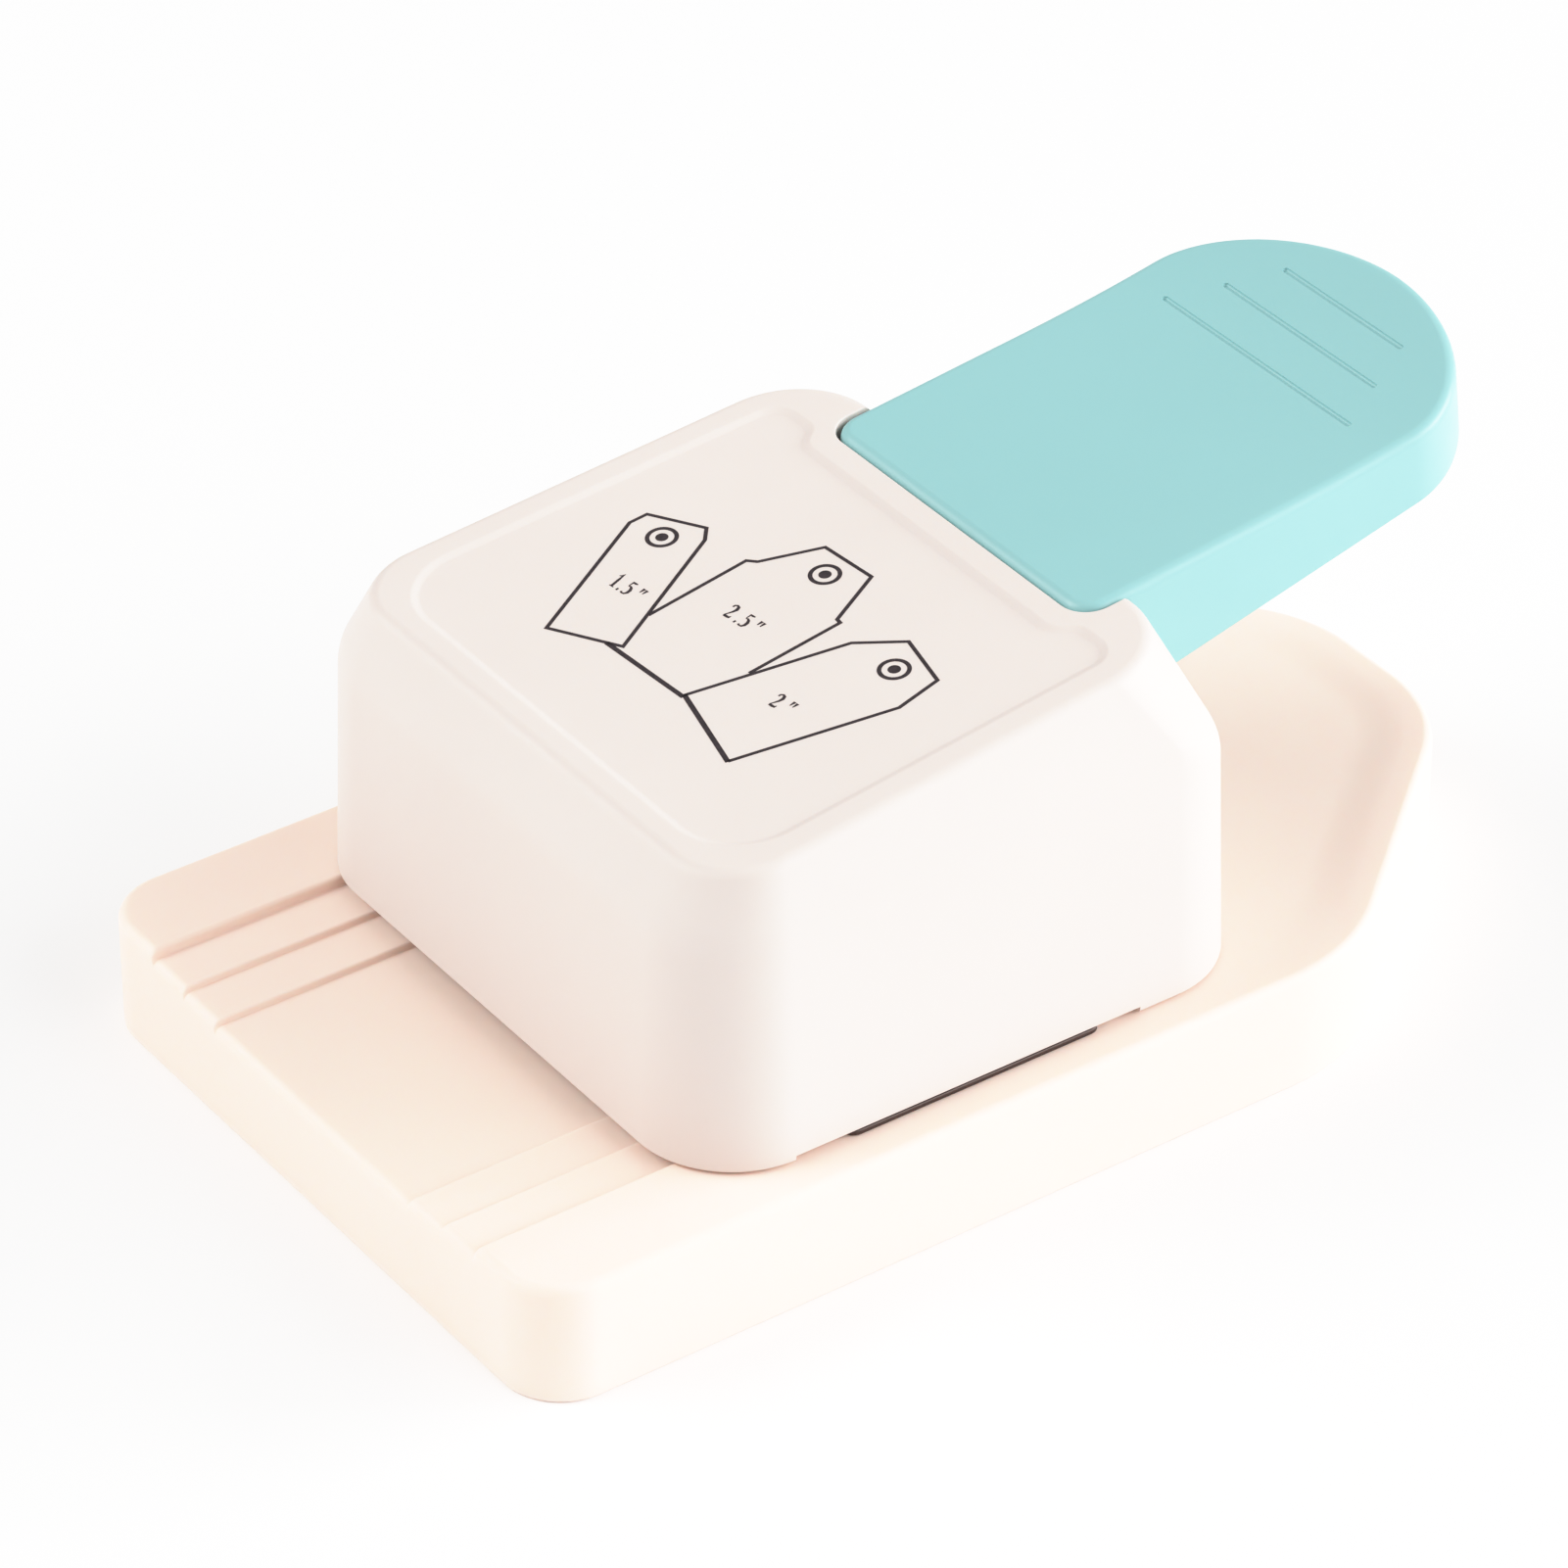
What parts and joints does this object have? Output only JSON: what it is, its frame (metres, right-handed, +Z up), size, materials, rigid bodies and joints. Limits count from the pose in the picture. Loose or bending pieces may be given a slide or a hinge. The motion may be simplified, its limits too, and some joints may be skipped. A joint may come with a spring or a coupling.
{
  "type": "tag punch",
  "caption": "Hand lever punch that cuts the slanted corners and the hole of a tag on paper strips, with stepped strip guides.",
  "frame": {"origin": "on the table, below the centre of the bounding box", "axes": "+Z up, +Y from the paper entry at the front to the lever's grip at the rear, +X to the right seen from the front"},
  "size_m": [0.0886, 0.1472, 0.066],
  "materials": {
    "cream_plastic": "fine satin moulding",
    "white_plastic": "fine satin moulding",
    "aqua_plastic": "satin",
    "charcoal_plastic": "matt moulding",
    "nylon": "natural nylon",
    "hard_steel": "ground",
    "dark_steel": "blackened",
    "frame_steel": "rolled sheet",
    "spring_steel": "drawn wire",
    "screw_zinc": "zinc plated"
  },
  "bodies": {
    "base": {"base_tray": "cream_plastic", "housing": "white_plastic", "die_plate": "hard_steel", "stripper_plate": "dark_steel", "paper_stop": "hard_steel", "u_frame": "frame_steel", "pivot_pin": "hard_steel", "pin_clip_left": "dark_steel", "pin_clip_right": "dark_steel", "pin_spacer_left": "nylon", "pin_spacer_right": "nylon", "guide_post_left": "hard_steel", "guide_post_right": "hard_steel", "return_spring_left": "spring_steel", "return_spring_right": "spring_steel", "housing_screw_front_left": "screw_zinc", "housing_screw_front_right": "screw_zinc", "housing_screw_rear_left": "screw_zinc", "housing_screw_rear_right": "screw_zinc", "frame_screw_front_left": "screw_zinc", "frame_screw_front_right": "screw_zinc", "frame_screw_rear_left": "screw_zinc", "frame_screw_rear_right": "screw_zinc"},
    "handle": {"lever": "aqua_plastic", "lever_arm": "frame_steel", "press_bar": "hard_steel", "lever_screw_front": "screw_zinc", "lever_screw_rear": "screw_zinc", "pivot_bush_left": "nylon", "pivot_bush_right": "nylon"},
    "punch": {"punch_carrier": "charcoal_plastic", "corner_cutter_left": "hard_steel", "corner_cutter_right": "hard_steel", "hole_cutter": "hard_steel", "wear_pad": "hard_steel", "cutter_screw_left_front": "screw_zinc", "cutter_screw_left_rear": "screw_zinc", "cutter_screw_right_front": "screw_zinc", "cutter_screw_right_rear": "screw_zinc"}
  },
  "joints": [
    {"name": "lever_hinge", "type": "hinge", "parent": "base", "child": "handle", "pos_m": [0, -0.03761, 0.037], "axis": [1, 0, 0], "range_deg": [-10.5, 0], "stiffness_Nm_per_rad": 2, "springref_deg": 14.32},
    {"name": "punch_slide", "type": "slide", "parent": "base", "child": "punch", "axis": [0, 0, 1], "range_m": [-0.0046, 0], "deforming": ["return_spring_left", "return_spring_right"]}
  ],
  "couplings": [
    {"joint": "punch_slide", "follows": "lever_hinge", "m_per_rad": 0.0248}
  ]
}
